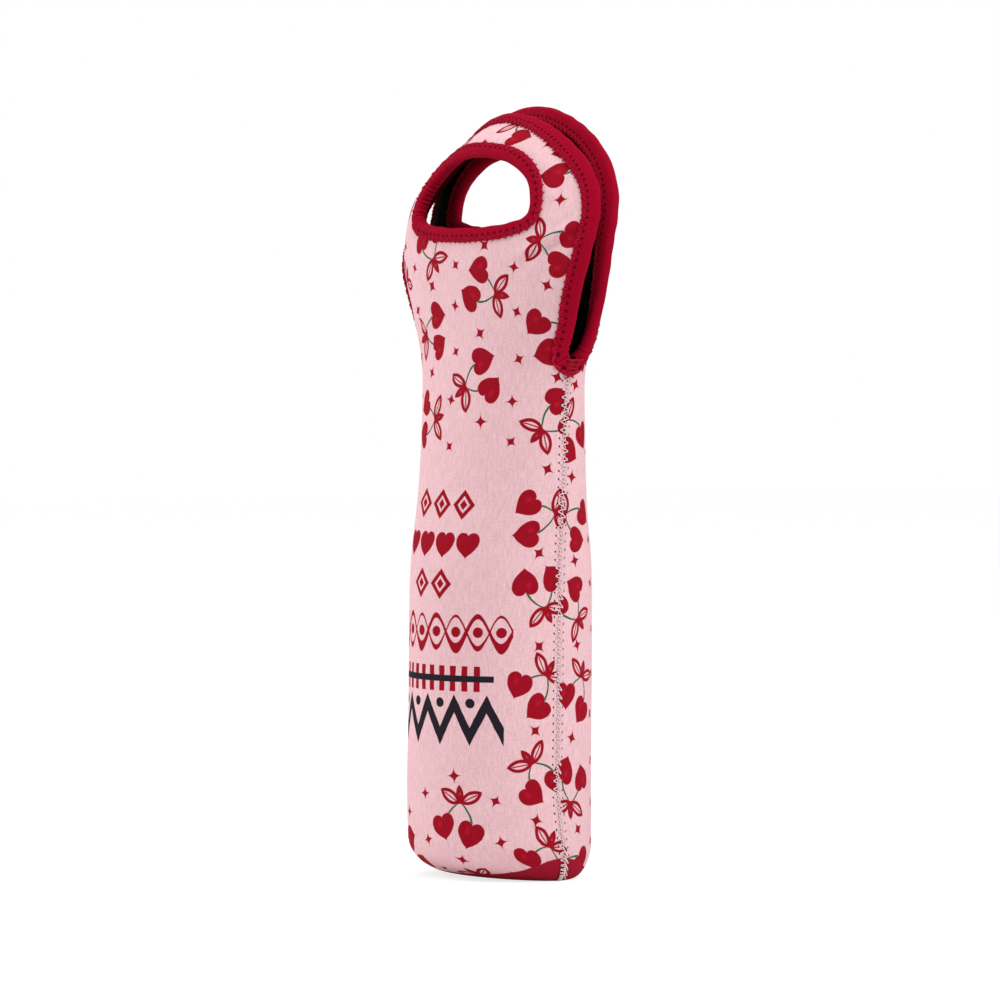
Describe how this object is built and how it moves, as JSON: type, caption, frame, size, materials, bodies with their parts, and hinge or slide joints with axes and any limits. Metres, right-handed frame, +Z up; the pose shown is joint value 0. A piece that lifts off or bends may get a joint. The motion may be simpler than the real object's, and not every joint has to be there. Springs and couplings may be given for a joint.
{
  "type": "insulated bottle sleeve",
  "caption": "Padded fabric sleeve for one tall bottle, closed at the base, with a bound handle hole in each of the arched top flaps.",
  "frame": {"origin": "middle of the underside, where the sleeve stands on a table", "axes": "+Z up along the bottle, -Y towards the front face, side seams at -X and +X"},
  "size_m": [0.1472, 0.0876, 0.3679],
  "materials": {
    "printed_jersey": "matte printed knit",
    "foam": "closed-cell foam",
    "lining": "matte knit",
    "binding_tape": "ribbed knit tape",
    "pink_thread": "spun thread"
  },
  "bodies": {
    "root": {"outer_jersey": "printed_jersey", "foam_core": "foam", "lining_jersey": "lining", "front_edge_binding": "binding_tape", "back_edge_binding": "binding_tape", "front_handle_binding": "binding_tape", "back_handle_binding": "binding_tape", "right_seam_thread": "pink_thread", "left_seam_thread": "pink_thread"}
  },
  "joints": []
}
